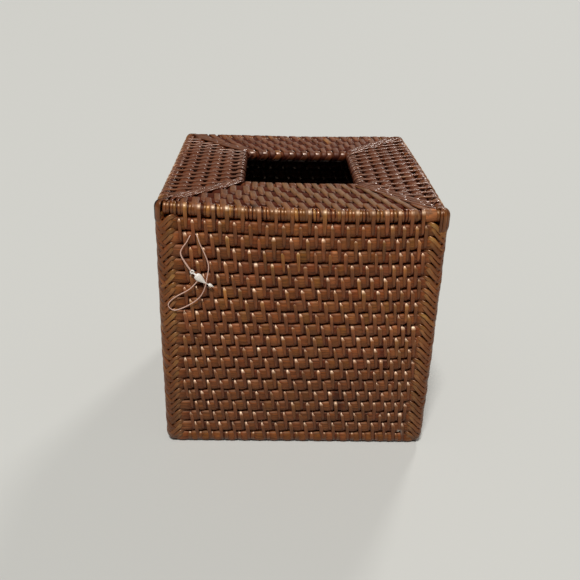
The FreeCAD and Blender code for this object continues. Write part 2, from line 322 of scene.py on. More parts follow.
def finished_mesh(name, material, places, grains, colours, loops, starts, maps):
    places = np.concatenate(places)
    colours = marked(places, np.concatenate(colours))
    mesh = bpy.data.meshes.new(name)
    mesh.vertices.add(len(places))
    mesh.vertices.foreach_set("co", places.astype(np.float32).ravel())
    loops = np.concatenate(loops)
    starts = np.concatenate(starts)
    mesh.loops.add(len(loops))
    mesh.loops.foreach_set("vertex_index", loops.astype(np.int32))
    mesh.polygons.add(len(starts))
    mesh.polygons.foreach_set("loop_start", starts.astype(np.int32))
    mesh.polygons.foreach_set("use_smooth", np.ones(len(starts), dtype=bool))
    bake_map = mesh.uv_layers.new(name="OFBake")
    bake_map.data.foreach_set("uv", np.concatenate(maps).astype(np.float32).ravel())
    grain = mesh.attributes.new("grain", "FLOAT_VECTOR", "POINT")
    grain.data.foreach_set("vector", np.concatenate(grains).astype(np.float32).ravel())
    tint = mesh.attributes.new("tint", "FLOAT_COLOR", "POINT")
    tint.data.foreach_set("color", np.c_[colours, np.ones(len(colours))].astype(np.float32).ravel())
    mesh.update(calc_edges=True)
    mesh.validate()
    mesh.materials.append(material)
    return dressed(linked("look_" + name, mesh), name)


def linked(name, data):
    """New object in the scene."""
    thing = bpy.data.objects.new(name, data)
    bpy.context.scene.collection.objects.link(thing)
    return thing


def dressed(piece, node):
    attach(piece, "root")
    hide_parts(node)
    return piece


# Materials
varnish_index = 1.5


def new_material(name):
    """Material with its nodes, links and shader."""
    material = bpy.data.materials.new(name)
    material.use_nodes = True
    tree = material.node_tree
    return material, tree.nodes, tree.links, tree.nodes["Principled BSDF"]


def rattan(name, roughness, specular, sheen, streak_strength):
    """Varnished rattan: each strand's own colour, with grain streaks, blotches and fine ridges."""
    material, nodes, links, shader = new_material(name)
    shader.inputs["IOR"].default_value = varnish_index
    shader.inputs["Specular IOR Level"].default_value = specular
    shader.inputs["Specular Tint"].default_value = sheen

    tint = nodes.new("ShaderNodeAttribute")
    tint.attribute_name = "tint"
    grain = nodes.new("ShaderNodeAttribute")
    grain.attribute_name = "grain"

    def noise(stretch, detail):
        scaled = nodes.new("ShaderNodeVectorMath")
        scaled.operation = "MULTIPLY"
        scaled.inputs[1].default_value = stretch
        links.new(grain.outputs["Vector"], scaled.inputs[0])
        texture = nodes.new("ShaderNodeTexNoise")
        texture.inputs["Scale"].default_value = 1.0
        texture.inputs["Detail"].default_value = detail
        links.new(scaled.outputs["Vector"], texture.inputs["Vector"])
        return texture.outputs["Fac"]

    def ranged(value, low, high):
        span = nodes.new("ShaderNodeMapRange")
        span.inputs["From Min"].default_value = 0.3
        span.inputs["From Max"].default_value = 0.7
        span.inputs["To Min"].default_value = low
        span.inputs["To Max"].default_value = high
        links.new(value, span.inputs["Value"])
        return span.outputs["Result"]

    def shaded(colour, factor):
        scaled = nodes.new("ShaderNodeVectorMath")
        scaled.operation = "SCALE"
        links.new(colour, scaled.inputs[0])
        links.new(factor, scaled.inputs["Scale"])
        return scaled.outputs["Vector"]

    streaks = noise((130, 1500, 1500), 3.0)
    blotches = noise((190, 300, 300), 2.0)
    ridges = noise((60, 4200, 4200), 2.0)
    colour = shaded(tint.outputs["Color"], ranged(streaks, 1 - streak_strength, 1 + streak_strength))
    colour = shaded(colour, ranged(blotches, 0.78, 1.2))
    links.new(colour, shader.inputs["Base Color"])
    links.new(ranged(streaks, roughness + 0.1, roughness - 0.06), shader.inputs["Roughness"])
    bump = nodes.new("ShaderNodeBump")
    bump.inputs["Strength"].default_value = 0.35
    bump.inputs["Distance"].default_value = 0.06 * MM
    links.new(ridges, bump.inputs["Height"])
    links.new(bump.outputs["Normal"], shader.inputs["Normal"])
    return material


def nylon(name, dark, light):
    """Milky nylon, a little see-into, uneven between two display colours."""
    material, nodes, links, shader = new_material(name)
    shader.inputs["Roughness"].default_value = 0.3
    shader.inputs["Subsurface Weight"].default_value = 0.2
    shader.inputs["Subsurface Radius"].default_value = (0.6 * MM, 0.6 * MM, 0.6 * MM)
    shader.inputs["Subsurface Scale"].default_value = 1.0
    where = nodes.new("ShaderNodeTexCoord")
    cloud = nodes.new("ShaderNodeTexNoise")
    cloud.inputs["Scale"].default_value = 220.0
    links.new(where.outputs["Object"], cloud.inputs["Vector"])
    ramp = nodes.new("ShaderNodeValToRGB")
    ramp.color_ramp.elements[0].color = (*display(*dark), 1)
    ramp.color_ramp.elements[1].color = (*display(*light), 1)
    links.new(cloud.outputs["Fac"], ramp.inputs["Fac"])
    links.new(ramp.outputs["Color"], shader.inputs["Base Color"])
    return material


WARM_SHEEN = (1.0, 0.7, 0.48, 1.0)
DULL_SHEEN = (1.0, 0.8, 0.68, 1.0)
wall_rod_look = rattan("wall_rod_look", 0.52, 0.5, WARM_SHEEN, 0.45)
wall_peel_look = rattan("wall_peel_look", 0.33, 0.75, WARM_SHEEN, 0.3)
top_rod_look = rattan("top_rod_look", 0.68, 0.12, DULL_SHEEN, 0.3)
top_peel_look = rattan("top_peel_look", 0.3, 1.0, DULL_SHEEN, 0.25)
dull_peel_look = rattan("dull_peel_look", 0.5, 0.4, DULL_SHEEN, 0.3)
strand_look = nylon("strand_look", (196, 152, 132), (222, 186, 168))
lock_look = nylon("lock_look", (226, 212, 200), (246, 242, 232))


class Side:
    """One wall with its quarter of the top, made facing -Y and turned about the cover's axis."""

    def __init__(self, name, turn, along, across, step_along, step_across, strip_width, top_spread):
        self.name = name
        self.turn = math.radians(turn)
        self.along = along
        self.across = across
        self.step_across = step_across
        self.mitre_ratio = step_along / step_across
        self.strip_width = strip_width
        self.top_spread = top_spread

    def place(self, points):
        cos, sin = math.cos(self.turn), math.sin(self.turn)
        turned = points.copy()
        turned[..., 0] = cos * points[..., 0] - sin * points[..., 1]
        turned[..., 1] = sin * points[..., 0] + cos * points[..., 1]
        return turned

    def row_z(self, row):
        return edge_z - row * row_spacing

    def ring_y(self, ring):
        return -self.across + ring * self.step_across

    def mitre_x(self, y):
        """Half length of the top at distance y, where two quarters meet."""
        return self.along - (y + self.across) * self.mitre_ratio

    def spread(self, x, amount):
        """Stitches stand further apart in the middle of a side than at its ends."""
        return x * (1 + amount * (1 - (x / self.along) ** 2))


# Stitches on the front and back of the top are wider than those on its left and right
WIDE = (corner_x, corner_y, ring_spacing_x, ring_spacing_y, 3.6 * MM, 0.2)
NARROW = (corner_y, corner_x, ring_spacing_y, ring_spacing_x, 2.35 * MM, 0.1)
FRONT = Side("front", 0, *WIDE)
RIGHT = Side("right", 90, *NARROW)
BACK = Side("back", 180, *WIDE)
LEFT = Side("left", 270, *NARROW)
SIDES = (FRONT, RIGHT, BACK, LEFT)
CORNERS = (
    ("front_right", FRONT, RIGHT),
    ("back_right", RIGHT, BACK),
    ("back_left", BACK, LEFT),
    ("front_left", LEFT, FRONT),
)


# Stitches, which pinch the rods: room at their ends, gaps that stand open and the one that holds the tag
wall_ends = (7.5 * MM, 6.5 * MM)
OPEN_GAPS = ((23.4 * MM, 28.4 * MM), (46.1 * MM, 55.9 * MM), (58.1 * MM, 73.6 * MM))
open_gap_reach = 3.2 * MM
ring_seam = 3.2 * MM
rim_seam = 1.2 * MM
crest_share = 0.28
lean_reach = 45 * MM
mitre_lean_reach = 9 * MM
inner_room = 2 * MM
HELD_ROW = 1
held_x = -54.4 * MM


def uneven(count, amount):
    return rng.normal(0, amount, count).clip(-2 * amount, 2 * amount)


def stitch_places(limit, pitch, share):
    """Places along a rod, a pitch apart and a share of it from the middle, at most a limit away from it."""
    count = math.ceil(limit / pitch)
    places = (np.arange(-count, count + 1) + share) * pitch
    return places[abs(places) <= limit]


def wall_stitches(side):
    """Upper ends and slants of the stitches of a wall, row by row, with the base's own last."""
    rows = []
    for row in range(wall_steps + 1):
        even = stitch_places(side.along, wall_pitch, (first_share + row_drift * row) % 1)
        x = wall_shift + side.spread(even, wall_spread)
        x = x[(x > wall_ends[0] - side.along) & (x < side.along - wall_ends[1])]
        x = x + uneven(len(x), 0.28 * MM)
        if side is FRONT and row == HELD_ROW:
            x[np.argmin(abs(x - held_x))] = held_x
        slant = wall_lean * smooth_step(-4, 8, row) * (1 - 0.6 * smooth_step(0.4, 0.9, x / side.along))
        rows.append((x, slant + uneven(len(x), 0.3 * MM)))
    return rows


def row_pinches(stitches, row):
    """Places where a row's own stitches and those of the row above pinch its rod."""
    x, _ = stitches[row]
    above, lean = stitches[row - 1]
    return np.concatenate([x, above + lean])


def top_places(side, ring, span, seam):
    """Places and slants of the stitches of one ring, beside the seams at both mitres."""
    outer_y = side.ring_y(ring)
    middle_y = outer_y + span / 2
    reach = side.mitre_x(middle_y)
    x = side.spread(stitch_places(side.along, top_pitch, 0.5 * (ring % 2)), side.top_spread)
    x = x + uneven(len(x), 0.3 * MM)
    to_right = reach - x
    to_left = reach + x
    lean = top_lean * smooth_step(0, lean_reach, to_left)
    beside_seam = ((to_right - seam) / mitre_lean_reach).clip(0)
    lean = lean + (mitre_lean - lean) * np.exp(-beside_seam ** 1.5)
    lean = lean + uneven(len(x), 0.35 * MM)
    inner_left = reach - span / 2 - inner_room
    fits = (to_right > seam) & (x - lean / 2 > -inner_left)
    return x[fits], lean[fits]


def top_stitches(side):
    """Places and slants of the stitches of the top, ring by ring, with the rim's own last."""
    rings = [top_places(side, ring, side.step_across, ring_seam) for ring in range(top_steps)]
    return [*rings, top_places(side, top_steps, 0, rim_seam)]


def ring_pinches(stitches, ring):
    """Places where a ring's own stitches and those of the ring outside it pinch its rod."""
    x, lean = stitches[ring]
    outer_x, outer_lean = stitches[max(ring - 1, 0)]
    return np.concatenate([x + crest_share * lean, outer_x - crest_share * outer_lean])


# Rods
def swelling(places, pinches):
    """How far a rod swells, from 0 to 1, at places between its pinches, and which bulge each place is on."""
    ends = np.array((places[0] - 2 * MM, places[-1] + 2 * MM))
    pinches = np.sort(np.concatenate([pinches, ends]))
    bulge = np.searchsorted(pinches, places).clip(1, len(pinches) - 1)
    room = pinches[bulge] - pinches[bulge - 1]
    share = ((places - pinches[bulge - 1]) / room).clip(0, 1)
    return np.sin(math.pi * share) ** 0.7 * smooth_step(1.2 * MM, 4.5 * MM, room), bulge


# Painted shade, dark in the gaps and inside: turn from straight up, positive towards the axis, and shade
WALL_SHADING = (
    (-180, -165, -145, -110, -50, -20, -5, 10, 180),
    (0.25, 0.5, 0.8, 0.95, 1.0, 0.9, 0.55, 0.25, 0.1),
)
EDGE_SHADING = ((-180, -150, -115, -60, 0, 35, 65, 90, 180), (0.25, 0.45, 0.8, 1.0, 1.0, 0.85, 0.4, 0.1, 0.08))
RING_SHADING = ((-180, -90, -65, -40, 0, 40, 65, 90, 180), (0.1, 0.25, 0.45, 0.6, 0.7, 0.6, 0.45, 0.25, 0.1))
RIM_SHADING = ((-180, -90, -65, -40, 0, 45, 70, 95, 180), (0.1, 0.3, 0.45, 0.6, 0.65, 0.6, 0.4, 0.12, 0.05))
# Painted shade beside the stitches that pinch a rod, between the wraps on the edge rod, and on the rods of
# the top's front and back under their wide strips
pinched_shade = 0.1
wrapped_shade = 0.2
covered_shade = 0.42
patch_share = 0.6

# The walls darken towards the base over these rows
DARK_ROWS = (7, 16)
base_darkening = 0.6

# The front edge rod is bare near its right end: where it comes out of its wraps, and the gap in them
BARE_START = (59 * MM, 60.5 * MM)
BARE_GAP = (60.0 * MM, 67.2 * MM)
bare_lightening = 0.75


def near_base(row):
    """How far a row is into the darker colour towards the base, from 0 to 1."""
    return smooth_step(*DARK_ROWS, row)


def painted_section_shade(shading, section=BLOCKY):
    """Painted shade of each point of a rod's section."""
    turns = np.degrees(np.arctan2(-section[:, 0], section[:, 1]))
    return np.interp(turns, *shading)


def rounded_ends(radius, steps=3):
    """Draw the first and last rings of rods in, so that their ends are domed."""
    for step in range(steps):
        share = math.sqrt(1 - ((steps - step) / (steps + 0.4)) ** 2)
        radius[:, step] *= share
        radius[:, -1 - step] *= share
    return radius


def wall_rod_tints(places, bulge, darker):
    """Colours along rods: a mixture for each, drifting along it, and patches for the bulges."""
    count = len(bulge)
    start = tints(count, WALL_MIX, 0.7)[:, None]
    stop = tints(count, WALL_MIX, 0.7)[:, None]
    share = 0.5 + 0.5 * np.clip(waver(count, places, 60 * MM), -1, 1)[..., None]
    mixed = toward(start, stop, share)
    patches = tints(count * (bulge.max() + 1), WALL_MIX, 0.4).reshape(count, -1, 3)
    patches = np.take_along_axis(patches, bulge[..., None], axis=1)
    mixed = toward(mixed, patches, patch_share)
    return toward(mixed, UMBER, np.reshape(darker, (-1, 1, 1)))


def wall_rods(side, stitches):
    rows = np.arange(1, wall_steps)
    half = side.along - rod_radius
    places = np.linspace(-half, half, 280)
    found = [swelling(places, row_pinches(stitches, row)) for row in rows]
    swell = np.array([row_swell for row_swell, _ in found])
    bulge = np.array([row_bulge for _, row_bulge in found])
    if side is FRONT:
        for gap_x, gap_z in OPEN_GAPS:
            beside = abs(side.row_z(rows) - gap_z)[:, None] < 0.75 * row_spacing
            swell = swell * (1 - 0.9 * beside * np.exp(-(((places - gap_x) / open_gap_reach) ** 4)))
    y = -side.across + 0.12 * MM * waver(len(rows), places, 70 * MM)
    z = side.row_z(rows)[:, None] + 0.16 * MM * waver(len(rows), places, 90 * MM)
    points = joined(places, y, z)
    uneven_size = 1 + 0.012 * waver(len(rows), places, 23 * MM)
    depth = (rod_radius - rod_pinch + (rod_swell + rod_pinch) * swell) * uneven_size
    height = rod_radius + (row_spacing / 2 - rod_clearance - rod_radius) * swell ** 0.35
    tint = wall_rod_tints(places, bulge, base_darkening * near_base(rows))
    shade = painted_section_shade(WALL_SHADING) * (pinched_shade + (1 - pinched_shade) * swell)[..., None]
    piece = Piece()
    piece.add(points, (0, 0, 1), BLOCKY, depth, height, tint, side.place, shade)
    piece.build(f"wall_rods_{side.name}", "rattan_rod", wall_rod_look, columns=1)


def ring_rod_points(y, z, half, steps=200, bend_steps=7):
    """Line of a rod that bends round to the mitre at both ends."""
    straight = half - rod_corner_radius
    places = np.linspace(-straight, straight, steps)
    middle = joined(places, y, z)
    turns = np.linspace(0, math.pi / 4, bend_steps + 1)[1:]
    bend_x = straight + rod_corner_radius * np.sin(turns)
    bend = joined(bend_x, y + rod_corner_radius * (1 - np.cos(turns)), z)
    other = bend[::-1] * np.array((-1, 1, 1))
    return np.concatenate([other, middle, bend])[None]


def ring_rod(side, y, z, half, pinches, mix, shading, piece):
    points = ring_rod_points(y, z, half)
    places = points[0, :, 0]
    swell, _ = swelling(places, pinches)
    fullest = top_swell if shading is RING_SHADING else rod_swell
    radius = rod_radius - rod_pinch + (fullest + rod_pinch) * swell
    section = BLOCKY
    if shading is RIM_SHADING:
        section = ROUND
        radius = np.full(len(places), rod_radius - rim_inset)
    start, stop = tints(2, mix)
    share = 0.5 + 0.5 * np.clip(waver(1, places, 50 * MM), -1, 1)[..., None]
    tint = toward(start, stop, share)
    shade = painted_section_shade(shading, section) * (pinched_shade + (1 - pinched_shade) * swell)[:, None]
    if shading is RING_SHADING and side in (FRONT, BACK):
        shade = covered_shade * shade
    if shading is EDGE_SHADING:
        section = ROUND
        bare = smooth_step(*BARE_START, places) if side is FRONT else 0 * places
        radius = rod_radius - edge_lift + (edge_lift + rod_swell) * bare
        tint = toward(tint, PEACH, bare_lightening * bare[:, None])
        shade = painted_section_shade(shading, section) * (wrapped_shade + (1 - wrapped_shade) * bare)[:, None]
    across = radius
    if shading is RING_SHADING:
        across = rod_radius + (side.step_across / 2 - rod_clearance - rod_radius) * swell ** 0.35
    piece.add(points, (0, 0, 1), section, across, radius, tint, side.place, shade)


def ring_rods(side, stitches, top):
    edge, rings, rim, base = Piece(), Piece(), Piece(), Piece()
    for ring in range(top_steps + 1):
        y = side.ring_y(ring)
        pinches = ring_pinches(top, ring)
        piece = edge if ring == 0 else rim if ring == top_steps else rings
        shading = EDGE_SHADING if ring == 0 else RIM_SHADING if ring == top_steps else RING_SHADING
        mix = WALL_MIX if ring == 0 else TOP_MIX
        ring_rod(side, y, edge_z, side.mitre_x(y), pinches, mix, shading, piece)
    pinches = row_pinches(stitches, wall_steps)
    ring_rod(side, -side.across, base_z, side.along, pinches, WALL_MIX, WALL_SHADING, base)
    edge.build(f"edge_rod_{side.name}", "rattan_rod", wall_rod_look, columns=1)
    rings.build(f"top_rods_{side.name}", "rattan_rod", top_rod_look, columns=1)
    rim.build(f"rim_rod_{side.name}", "rattan_rod", top_rod_look, columns=1)
    base.build(f"base_rod_{side.name}", "rattan_rod", wall_rod_look, columns=1)


def corner_post(name, side):
    bottom = base_z + 2 * rod_radius
    z = np.linspace(bottom, frame_top_z, 60)
    points = joined(side.along, -side.across, z[None])
    radius = rounded_ends(np.full((1, len(z)), rod_radius) * (1 + 0.01 * waver(1, z, 25 * MM)))
    bulge = np.floor((z - bottom) / row_spacing).astype(int)[None]
    tint = wall_rod_tints(z, bulge, base_darkening)
    piece = Piece()
    piece.add(points, (0, 1, 0), ROUND, radius, radius, tint, side.place)
    piece.build(f"corner_post_{name}", "rattan_rod", wall_rod_look, columns=1)


# Turns of peel: how their painted shade and painted highlight go from the first rod's far side to the
# second's
WALL_FADE = (
    (0, 0.02, 0.05, 0.1, 0.15, 0.3, 0.5, 0.65, 0.78, 0.92, 1),
    (0.35, 1.0, 1.6, 1.6, 1.2, 0.85, 0.6, 0.65, 0.65, 0.3, 0.15),
)
TOP_FADE = ((0, 0.1, 0.25, 0.75, 0.9, 1), (0.2, 0.6, 1.0, 1.0, 0.6, 0.2))
OUTER_FADE = ((0, 0.1, 0.25, 0.75, 0.9, 1), (1.1, 1.1, 1.0, 1.0, 0.6, 0.2))
RIM_FADE = ((0, 0.15, 0.35, 0.8, 1), (0.3, 0.75, 1.0, 1.0, 0.5))
EDGE_FADE = ((0, 0.06, 0.12, 0.2, 0.3, 0.6, 0.85, 1), (0.7, 1.0, 1.5, 1.5, 1.0, 0.8, 0.55, 0.3))
# Painted highlight: stitches are painted pale where they bend over a rod towards the light: share of the way
# from its far side
WALL_HIGHLIGHT = ((0.02, 0.04, 0.095, 0.125), (0.0, 1.0, 1.0, 0.0))
NO_HIGHLIGHT = ((0, 1), (0.0, 0.0))
hidden_shade = 0.12
wall_dip = 0.12 * MM
top_dip = 0.15 * MM


class Turn:
    """One turn of peel round two rods a span apart, from behind their middle and back to it.

    Its points are (towards the second rod, out). Two shares say how far each point goes along the
    slant in front and along the way to the next stitch behind.
    """

    def __init__(
        self,
        span,
        fade,
        seat=strip_seat,
        stretch=1.0,
        dip=wall_dip,
        hidden=(-0.5, 0.4),
        taper=1.0,
        highlight_span=NO_HIGHLIGHT,
    ):
        arc_steps = 13
        front_steps = 3
        angles = np.linspace(-math.pi / 2, math.pi / 2, arc_steps)
        first = np.stack([-np.cos(angles) * stretch, np.sin(angles)], axis=1)
        second = first[::-1] * np.array((-1, 1))
        front = np.arange(1, front_steps + 1) / (front_steps + 1)
        sunk = dip * np.sin(math.pi * front) if span > 0 else 0 * front
        between = np.stack([front * span, seat - sunk], axis=1)
        middle_behind = np.array(((span / 2, -seat),))
        if span == 0:
            between = between[:0]
            middle_behind = np.array(((0, -seat * 1.001),))
            second = second[1:]
        self.points = np.concatenate(
            [middle_behind, first * seat, between, second * seat + np.array((span, 0)), middle_behind]
        )
        down = np.array(((0, 1.0),))
        self.normals = np.concatenate([-down, first, np.repeat(down, len(between), axis=0), second, -down])
        paces = np.linalg.norm(np.diff(self.points, axis=0), axis=1)
        walked = np.concatenate([[0], np.cumsum(paces)])
        noses = walked[np.argmin(self.points[:, 0])], walked[np.argmax(self.points[:, 0])]
        if span == 0:
            noses = walked[-1] * 0.3, walked[-1] * 0.7
        knots = (0, *noses, walked[-1])
        self.slant_share = np.interp(walked, knots, (0, -0.5, 0.5, 0))
        self.next_share = np.interp(walked, knots, (-0.5, 0, 0, 0.5))
        shown = np.clip(self.points[:, 1] / seat, 0, 1)
        self.thickness = strip_back_thickness + (strip_thickness - strip_back_thickness) * shown
        share = (self.points[:, 0] + seat) / (span + 2 * seat)
        self.breadth = 1 + (taper - 1) * smooth_step(0.35, 0.95, share)
        self.painted_glint = np.interp(share, *highlight_span) * (self.points[:, 1] > 0)
        seen = hidden_shade + (1 - hidden_shade) * smooth_step(*hidden, self.points[:, 1] / seat)
        self.shade = (np.interp(share, *fade) * seen)[:, None] * DOME_SHADE

    def lines(self, x, lean, step):
        """Sideways places of stitches at x, with a slant each and a step to the next stitch."""
        return x[:, None] + lean[:, None] * self.slant_share + step * self.next_share


def strip_tints(count, mix, light_share):
    """Colours of strips, of which a few are light."""
    found = tints(count, mix, 1.6)
    light = rng.random((count, 1)) < light_share
    return np.where(light, toward(found, HONEY, rng.uniform(0.15, 0.4, (count, 1))), found)


def wall_turn(piece, side, row, turn, x, lean, width, tint):
    """Stitches that go round a wall row and the next one."""
    y = -side.across - turn.points[:, 1] - uneven(len(x), 0.05 * MM)[:, None]
    points = joined(turn.lines(x, lean, wall_pitch), y, side.row_z(row) - turn.points[:, 0])
    out = joined(0, -turn.normals[:, 1], -turn.normals[:, 0])
    rolled = out + uneven(len(x), 0.08)[:, None, None] * np.array((1, 0, 0))
    half_width = width[:, None] / 2 * turn.breadth
    thickness = turn.thickness * (width[:, None] / wall_strip_width)
    # Painted highlight: a random share of the way towards a pale colour where the stitch bends over its first
    # rod
    painted_glint = turn.painted_glint[:, None] * rng.uniform(0.1, 0.75, (len(x), 1, 1))
    tint = toward(tint[:, None], HIGHLIGHT_PALE, painted_glint)
    piece.add(points, rolled, DOME, half_width, thickness, tint, side.place, turn.shade)


def wall_lashing(side, stitches):
    turn = Turn(row_spacing, WALL_FADE, taper=0.65, highlight_span=WALL_HIGHLIGHT)
    edge_turn = Turn(row_spacing, WALL_FADE, seat=strip_seat + edge_lift, taper=0.65, highlight_span=WALL_HIGHLIGHT)
    piece = Piece()
    for row in range(wall_steps):
        x, lean = stitches[row]
        width = wall_strip_width * (1 + uneven(len(x), 0.07))
        tint = strip_tints(len(x), WALL_MIX, 0.07)
        tint = toward(tint, UMBER, base_darkening * near_base(row))
        wall_turn(piece, side, row, turn if row else edge_turn, x + lean / 2, lean, width, tint)
    back_runs(piece, side)
    edge_wraps(piece, side, stitches[0][0])
    piece.build(f"wall_lashing_{side.name}", "rattan_peel", wall_peel_look)


def back_runs(piece, side, steps=40):
    """Peel that runs in each gap from stitch to stitch and shuts out the light."""
    rows = np.arange(wall_steps)
    half = side.along - rod_radius
    z = (side.row_z(rows) - row_spacing / 2)[:, None]
    points = joined(np.linspace(-half, half, steps), -side.across + run_depth, z)
    # Their colour is russet darkened as painted shade in the gaps
    tint = np.tile(0.7 * RUSSET, (len(rows), 1))
    piece.add(points, (0, 1, 0), DOME, run_half_width, strip_back_thickness, tint, side.place)


def base_binding(side, stitches):
    turn = Turn(0, EDGE_FADE)
    x, _ = stitches[wall_steps]
    tint = strip_tints(len(x), WALL_MIX, 0.02)
    tint = toward(tint, UMBER, base_darkening)
    piece = Piece()
    width = wall_strip_width * (1 + uneven(len(x), 0.07))
    wall_turn(piece, side, wall_steps, turn, x, uneven(len(x), 0.5 * MM), width, tint)
    piece.build(f"base_binding_{side.name}", "rattan_peel", wall_peel_look)


def top_turn(piece, side, ring, turn, x, lean, width, tint):
    """Stitches that go round a ring of the top and the next one in."""
    z = edge_z + turn.points[:, 1] + uneven(len(x), 0.06 * MM)[:, None]
    points = joined(turn.lines(x, -lean, top_pitch), side.ring_y(ring) + turn.points[:, 0], z)
    out = joined(0, turn.normals[:, 0], turn.normals[:, 1])
    piece.add(points, out, DOME, width[:, None] / 2, turn.thickness, tint, side.place, turn.shade)


# Stitches on the front of the top turn khaki from its left to its middle
khaki_start = -60 * MM
khaki_share = 0.55


def top_lashing(side, stitches):
    span = side.step_across
    outer_turn = Turn(span, OUTER_FADE, dip=top_dip, hidden=(-1.0, -0.4))
    inner_turn = Turn(span, TOP_FADE, dip=top_dip)
    piece = Piece()
    for ring in range(top_steps):
        x, lean = stitches[ring]
        width = side.strip_width * (1 + uneven(len(x), 0.06))
        tint = strip_tints(len(x), TOP_MIX, 0.015)
        if side is FRONT:
            tint = toward(tint, KHAKI, khaki_share * smooth_step(khaki_start, 0, x)[:, None])
        if ring == 0:
            tint = toward(tint, strip_tints(len(x), WALL_MIX, 0.05), 0.5)
        top_turn(piece, side, ring, inner_turn if ring else outer_turn, x, lean, width, tint)
    look = dull_peel_look if side in (FRONT, BACK) else top_peel_look
    piece.build(f"top_lashing_{side.name}", "rattan_peel", look)


def edge_wraps(piece, side, stitches):
    """Narrow turns of peel that fill the edge rod between the stitches, up to its corners."""
    turn = Turn(0, EDGE_FADE, seat=strip_seat + edge_lift, hidden=(-1.0, -0.4))
    limit = side.along - wrap_end_room
    x = np.arange(-limit, limit, edge_pitch) + edge_pitch / 2
    x = x + uneven(len(x), 0.2 * MM)
    x = x[abs(x[:, None] - stitches).min(axis=1) > wrap_stitch_room]
    if side is FRONT:
        x = x[(x < BARE_GAP[0]) | (x > BARE_GAP[1])]
    tint = strip_tints(len(x), WALL_MIX, 0.2)
    width = edge_strip_width * (1 + uneven(len(x), 0.16))
    wall_turn(piece, side, 0, turn, x, uneven(len(x), 0.4 * MM), width, tint)


def rim_binding(side, stitches):
    turn = Turn(0, RIM_FADE, hidden=(-1.0, -0.2))
    x, lean = stitches[top_steps]
    tint = strip_tints(len(x), TOP_MIX, 0.015)
    piece = Piece()
    top_turn(piece, side, top_steps, turn, x, lean * 0.6, np.full(len(x), side.strip_width), tint)
    look = dull_peel_look if side is FRONT else top_peel_look
    piece.build(f"rim_binding_{side.name}", "rattan_peel", look)


# Seams along the mitres of the top
seam_strips = 3
seam_lanes = (-2.4 * MM, 1.8 * MM)
seam_twist = 2.2 * MM
seam_start = 3.4 * MM
seam_lift = 0.2 * MM
seam_lift_step = 0.12 * MM


def mitre_seam(name, side):
    """Strips that lie along the mitre at the right end of a side, some to each ring, like stem stitch."""
    inward = np.array((-side.mitre_ratio, 1.0, 0.0))
    step = side.step_across * np.linalg.norm(inward)
    inward = unit(inward)
    beside = np.array((inward[1], -inward[0], 0.0))
    turn = Turn(step, TOP_FADE, stretch=1.15)
    piece = Piece()
    for ring in range(top_steps):
        y = side.ring_y(ring)
        corner = np.array((side.mitre_x(y), y, edge_z)) + (seam_start if ring == 0 else 0) * inward
        order = np.arange(seam_strips)
        offsets = np.linspace(*seam_lanes, seam_strips) + uneven(seam_strips, 0.15 * MM)
        slide = (order / seam_strips + uneven(seam_strips, 0.05)) * step * (ring < top_steps - 1)
        shift = offsets[:, None] - seam_twist * turn.slant_share
        along = turn.points[:, 0] + slide[:, None]
        height = turn.points[:, 1] + seam_lift + seam_lift_step * order[:, None]
        points = corner + along[..., None] * inward + shift[..., None] * beside
        points[..., 2] += height
        out = turn.normals[:, :1] * inward + turn.normals[:, 1:] * np.array((0, 0, 1))
        tint = strip_tints(seam_strips, TOP_MIX, 0.0)
        half_width = np.full((seam_strips, 1), seam_strip_width / 2)
        piece.add(points, out, DOME, half_width, turn.thickness, tint, side.place, turn.shade)
    piece.build(f"mitre_stitches_{name}", "rattan_peel", top_peel_look)


# Plaits over the corner posts
plait_reach = 7.8 * MM
plait_tail = 2.6 * MM
plait_strips = 2
plait_strip_step = 3.2 * MM
plait_seat = rod_radius + 0.25 * MM
plait_foot_rounding = 6.5 * MM
plait_gather = 0.45
foot_squeeze = 3.6 * MM
foot_length = 5 * MM
foot_bend = 9 * MM
spine_lift = 0.35 * MM
spine_width = 2.2 * MM
gap_tuck = 2.4 * MM
tail_tuck = 1.2 * MM
front_slope = math.tan(math.radians(48))
side_slope = math.tan(math.radians(50))
plait_spine_shifts = {"front_right": 0.4 * MM, "front_left": 2.5 * MM}
other_spine_shift = 1.3 * MM
# Painted highlight and shade along each arm: brightest just past where it comes out of its gap, darker at its
# ends
PLAIT_FADE = ((0, 0.1, 0.16, 0.24, 0.4, 0.75, 1), (0.25, 1.0, 1.8, 1.5, 1.0, 0.8, 0.35))
cap_reach = 3.0 * MM
cap_drop = 1.35 * row_spacing
cap_strip_width = 1.4 * MM
CAPS = {"front_right": (7, -95, 10, 1.0 * MM), "front_left": (7, -112, -15, 0.6 * MM)}
OTHER_CAP = (7, -95, 5, 0.1 * MM)


def round_corner(side, way, depth, z):
    """Place and outward direction at a way from a corner's middle, positive along this side's wall."""
    turn = np.clip(way / depth, -math.pi / 4, math.pi / 4)
    angle = -math.pi / 4 - turn
    out = joined(np.cos(angle), np.sin(angle), 0)
    ahead = joined(np.sin(angle), -np.cos(angle), 0)
    centre = np.array((side.along, -side.across, 0.0))
    points = centre + out * depth[..., None] + ahead * (way - turn * depth)[..., None]
    points[..., 2] = z
    return points, out


